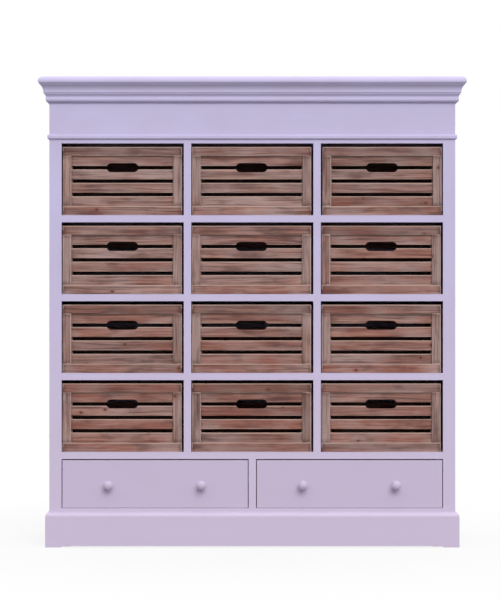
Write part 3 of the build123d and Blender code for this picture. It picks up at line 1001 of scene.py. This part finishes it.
    def build(self, wood: bpy.types.Material, steel: bpy.types.Material) -> None:
        """Build the front, the box and the nails, and set them in the place of the CAD ones.

        Args:
            wood: the boards' finish.
            steel: the nails' finish.
        """
        rng = np.random.default_rng(self.seed)
        origin = self.size()[0]
        count = 0
        for part, boards in (("_front", self.front_boards()), ("_box", self.box_boards())):
            piece = join_boards(self.name + part + "_boards", boards, origin, self.look, rng)
            piece.data.materials.append(wood)
            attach(piece, self.name)
            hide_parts(self.name + part)
            count += len(boards)
        self.nails(steel)
        log.info("%s: %d boards", self.name, count)


@dataclass(frozen=True)
class CrateRows:
    """The crates of all columns and rows, as red and as dark as each one has weathered."""

    columns: str = "abc"  # from the left
    rows: int = 4
    redness: float = 0.15
    redder_each_row: float = 0.13  # the lower crates kept more of their red
    redder: tuple[str, ...] = ("crate_c1", "crate_c2", "crate_b4")
    redder_by: float = 0.3
    darker: tuple[str, ...] = ("crate_c1", "crate_a3", "crate_b4")
    darker_by: float = 0.14

    def build(self) -> None:
        """Build every crate, column by column."""
        fir = WeatheredFir().material()
        steel = DulledSteel().material()
        for column, letter in enumerate(self.columns):
            for row in range(1, self.rows + 1):
                name = f"crate_{letter}{row}"
                redness = self.redness + self.redder_each_row * row
                look = BoardLook(
                    redness=redness + (self.redder_by if name in self.redder else 0.0),
                    soil_and_shade=self.darker_by if name in self.darker else 0.0,
                )
                SlattedCrate(name, seed=10 * row + column, look=look).build(fir, steel)


# ---------------------------------------------------------------- carcase and drawers
@dataclass(frozen=True)
class DressedNodes:
    """CAD nodes that keep their shape and get eased arrises and a finish."""

    nodes: tuple[str, ...]
    arris_mm: float
    weld_mm: float = 0.01
    segments: int = 2
    arris_deg: float = 35.0  # faces that turn by less than this are one round surface

    def dress(self, material: bpy.types.Material) -> None:
        """Ease the arrises of every node and give it the finish.

        Args:
            material: the finish.
        """
        for name in self.nodes:
            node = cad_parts[name]
            if self.arris_mm:
                weld = node.modifiers.new("weld", "WELD")
                weld.merge_threshold = self.weld_mm * MM
                ease = node.modifiers.new("eased_arrises", "BEVEL")
                ease.width = self.arris_mm * MM
                ease.segments = self.segments
                ease.limit_method = "ANGLE"
                ease.angle_limit = math.radians(self.arris_deg)
            for slot in node.material_slots:
                slot.material = material
            log.info("%s: %s", name, material.name)


@dataclass(frozen=True)
class Carcase:
    """The painted case: face frame, boards, mouldings and plinth, brushed along each board."""

    flush_mm: float = 0.15  # pieces of the face frame meet flush and are painted over
    eased_mm: float = 0.6
    level_frame: tuple[str, ...] = (
        "drawer_deck", "ceiling_board", "shelf_boards", "bottom_rail", "frieze_board",
    )
    upright_frame: tuple[str, ...] = (
        "stile_left", "stile_right", "partition_left", "partition_right", "drawer_divider",
    )
    upright_boards: tuple[str, ...] = (
        "side_panel_left", "side_panel_right", "back_panel", "top_blocks", "floor_blocks",
    )
    level_boards: tuple[str, ...] = (
        "top_board", "cornice_front", "bead_front", "plinth_front", "back_rail", "bottom_panel",
    )
    inward_boards: tuple[str, ...] = (
        "cornice_returns", "bead_returns", "plinth_returns", "crate_guides", "drawer_guides",
        "drawer_kickers", "drawer_stops",
    )

    def dress(self) -> None:
        """Give every board its paint, brushed the way it runs."""
        level = SatinAlkydPaint("satin_alkyd_paint_level", Run.WIDTH).material()
        upright = SatinAlkydPaint("satin_alkyd_paint_upright", Run.HEIGHT).material()
        inward = SatinAlkydPaint("satin_alkyd_paint_inward", Run.DEPTH).material()
        for nodes, arris_mm, paint in (
            (self.level_frame, self.flush_mm, level),
            (self.upright_frame, self.flush_mm, upright),
            (self.upright_boards, self.eased_mm, upright),
            (self.level_boards, self.eased_mm, level),
            (self.inward_boards, self.eased_mm, inward),
        ):
            DressedNodes(nodes, arris_mm).dress(paint)


@dataclass(frozen=True)
class Drawer:
    """A wide inset drawer: a painted front with two turned knobs, on a bare pine box."""

    name: str
    arris_mm: float = 0.5
    side_thickness: float = 12.0
    play_mm: float = 0.1  # between the boards' faces and where the pattern turns

    def dress(self, paint: bpy.types.Material, bottom: bpy.types.Material) -> None:
        """Give the drawer's pieces their finishes.

        Args:
            paint: for the front and the knobs.
            bottom: for the bottom.
        """
        low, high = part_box(self.name + "_box")
        thick = (self.side_thickness + self.play_mm) * MM
        back = (high.y - thick, low.x + thick, high.x - thick)
        sides = PlanedPine(f"planed_pine_{self.name}", Run.DEPTH, back=back).material()
        DressedNodes((self.name + "_front",), 0.0).dress(paint)
        DressedNodes((self.name + "_knobs",), self.arris_mm).dress(paint)
        DressedNodes((self.name + "_box",), self.arris_mm).dress(sides)
        DressedNodes((self.name + "_bottom",), self.arris_mm).dress(bottom)


# ---------------------------------------------------------------- studio
@dataclass(frozen=True)
class Studio:
    """A plain white floor under soft light from above the front, and the photograph's camera."""

    camera_distance: float = 6.0
    camera_x: float = -0.0062
    camera_height: float = 0.667
    view_height: float = 1.62
    view_end: float = 100.0
    sensor_mm: float = 36.0
    sky_low: float = 0.22
    sky_high: float = 1.32
    key_strength: float = 1.78
    key_height_deg: float = 35.0
    key_side_deg: float = 14.0
    key_spread_deg: float = 38.0
    floor_reach: float = 9.0
    floor_roughness: float = 0.9
    floor_white: str = "#E2E1E0"
    floor_bounce: str = "#7C7C7C"  # what the floor throws back up at the object
    glow_least: float = 0.8  # of the floor near the object, so that its shadow still shows
    glow_near: float = 0.5  # in metres from the object's middle
    glow_far: float = 1.6

    def camera(self) -> None:
        """Set up the camera, level and far in front, so that the uprights stay upright."""
        data = bpy.data.cameras.new("camera")
        data.sensor_fit = "VERTICAL"
        data.sensor_height = self.sensor_mm
        data.lens = self.sensor_mm * self.camera_distance / self.view_height
        data.clip_end = self.view_end
        camera = bpy.data.objects.new("camera", data)
        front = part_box("stile_left")[0].y
        camera.location = (self.camera_x, front - self.camera_distance, self.camera_height)
        camera.rotation_euler = (math.pi / 2, 0, 0)
        bpy.context.scene.collection.objects.link(camera)
        bpy.context.scene.camera = camera

    def seen(self, tree: Tree) -> Socket:
        """Give 1 for what the camera, a gloss or a glass sees, and 0 for what lights the object.

        Args:
            tree: the tree that takes it.

        Returns:
            The 1 or 0.
        """
        path = add_node(tree, "LightPath")
        seen = path["Is Camera Ray"]
        for ray in ("Is Glossy Ray", "Is Transmission Ray"):
            seen = add_node(tree, "Math", {"operation": "MAXIMUM"}, (seen, path[ray]))[0]
        return seen

    def world(self) -> None:
        """Light the object evenly from all round, and show white behind it."""
        world = bpy.data.worlds.new("studio")
        world.use_nodes = True
        tree = world.node_tree
        tree.nodes.clear()
        way = add_node(tree, "TexCoord")["Generated"]
        height = add_node(tree, "SeparateXYZ", inputs=(way,))["Z"]
        strength = add_node(tree, "MapRange", inputs=(height, 0.0, 1.0, self.sky_low, self.sky_high))[0]
        light, white = [
            add_node(tree, "Background", inputs={"Color": WHITE, "Strength": level})[0]
            for level in (strength, 1.0)
        ]
        mixed = add_node(tree, "MixShader", inputs=(self.seen(tree), light, white))[0]
        add_node(tree, "OutputWorld", inputs={"Surface": mixed})
        bpy.context.scene.world = world

    def floor(self) -> None:
        """Lay a matt white floor that keeps the object's shadow."""
        mesh = bpy.data.meshes.new("floor")
        reach = self.floor_reach
        corners = [(-reach, -reach, 0), (reach, -reach, 0), (reach, reach, 0), (-reach, reach, 0)]
        mesh.from_pydata(corners, [], [(0, 1, 2, 3)])
        material, tree, surface = start_material("matt_white_floor")
        seen = self.seen(tree)
        mix = {0: seen, 6: linear(self.floor_bounce), 7: linear(self.floor_white)}
        tone = add_node(tree, "Mix", COLOURS, mix)[2]
        tree.links.new(tone, surface.inputs["Base Color"])
        surface.inputs["Roughness"].default_value = self.floor_roughness
        place = add_node(tree, "TexCoord")["Object"]
        away = add_node(tree, "VectorMath", {"operation": "LENGTH"}, (place,))["Value"]
        fade = add_node(
            tree, "MapRange", SMOOTH, (away, self.glow_near, self.glow_far, self.glow_least, 1.0)
        )[0]
        share = add_node(tree, "Math", {"operation": "MULTIPLY"}, (seen, fade))[0]
        glow = add_node(tree, "Emission", inputs={"Color": WHITE, "Strength": 1.0})[0]
        mixed = add_node(tree, "MixShader", inputs=(share, surface.outputs[0], glow))[0]
        tree.links.new(mixed, tree.nodes["Material Output"].inputs["Surface"])
        mesh.materials.append(material)
        floor = bpy.data.objects.new("floor", mesh)
        bpy.context.scene.collection.objects.link(floor)

    def key(self) -> None:
        """Hang the key light, broad and far off, above the front and a little to the right."""
        data = bpy.data.lights.new("key", "SUN")
        data.energy = self.key_strength
        data.angle = math.radians(self.key_spread_deg)
        lamp = bpy.data.objects.new("key", data)
        lamp.visible_glossy = False  # so that the top doesn't glare when seen from behind
        lamp.rotation_euler = (math.radians(90 - self.key_height_deg), 0, math.radians(self.key_side_deg))
        bpy.context.scene.collection.objects.link(lamp)

    def build(self) -> None:
        """Set up the camera, the white surround and the lamps."""
        bpy.context.scene.view_settings.view_transform = "Standard"
        self.camera()
        self.world()
        self.floor()
        self.key()
        log.info("studio: camera %.1f m off, key %.0f degrees up", self.camera_distance, self.key_height_deg)


def main() -> None:
    """Build the studio, dress the case and the drawers, and build the crates."""
    logging.basicConfig(level=logging.INFO, format="%(name)s: %(message)s")
    Studio().build()
    Carcase().dress()
    paint = SatinAlkydPaint(
        "satin_alkyd_paint_drawers", Run.WIDTH, colour="#C3B7D3", thick="#BEAFCB", low_tint="#C9B9D4"
    ).material()
    bottom = PlanedPine("planed_pine_bottom", Run.WIDTH, line_mm=9.0).material()
    for name in ("drawer_left", "drawer_right"):
        Drawer(name).dress(paint, bottom)
    CrateRows().build()


if __name__ == "__main__":
    main()
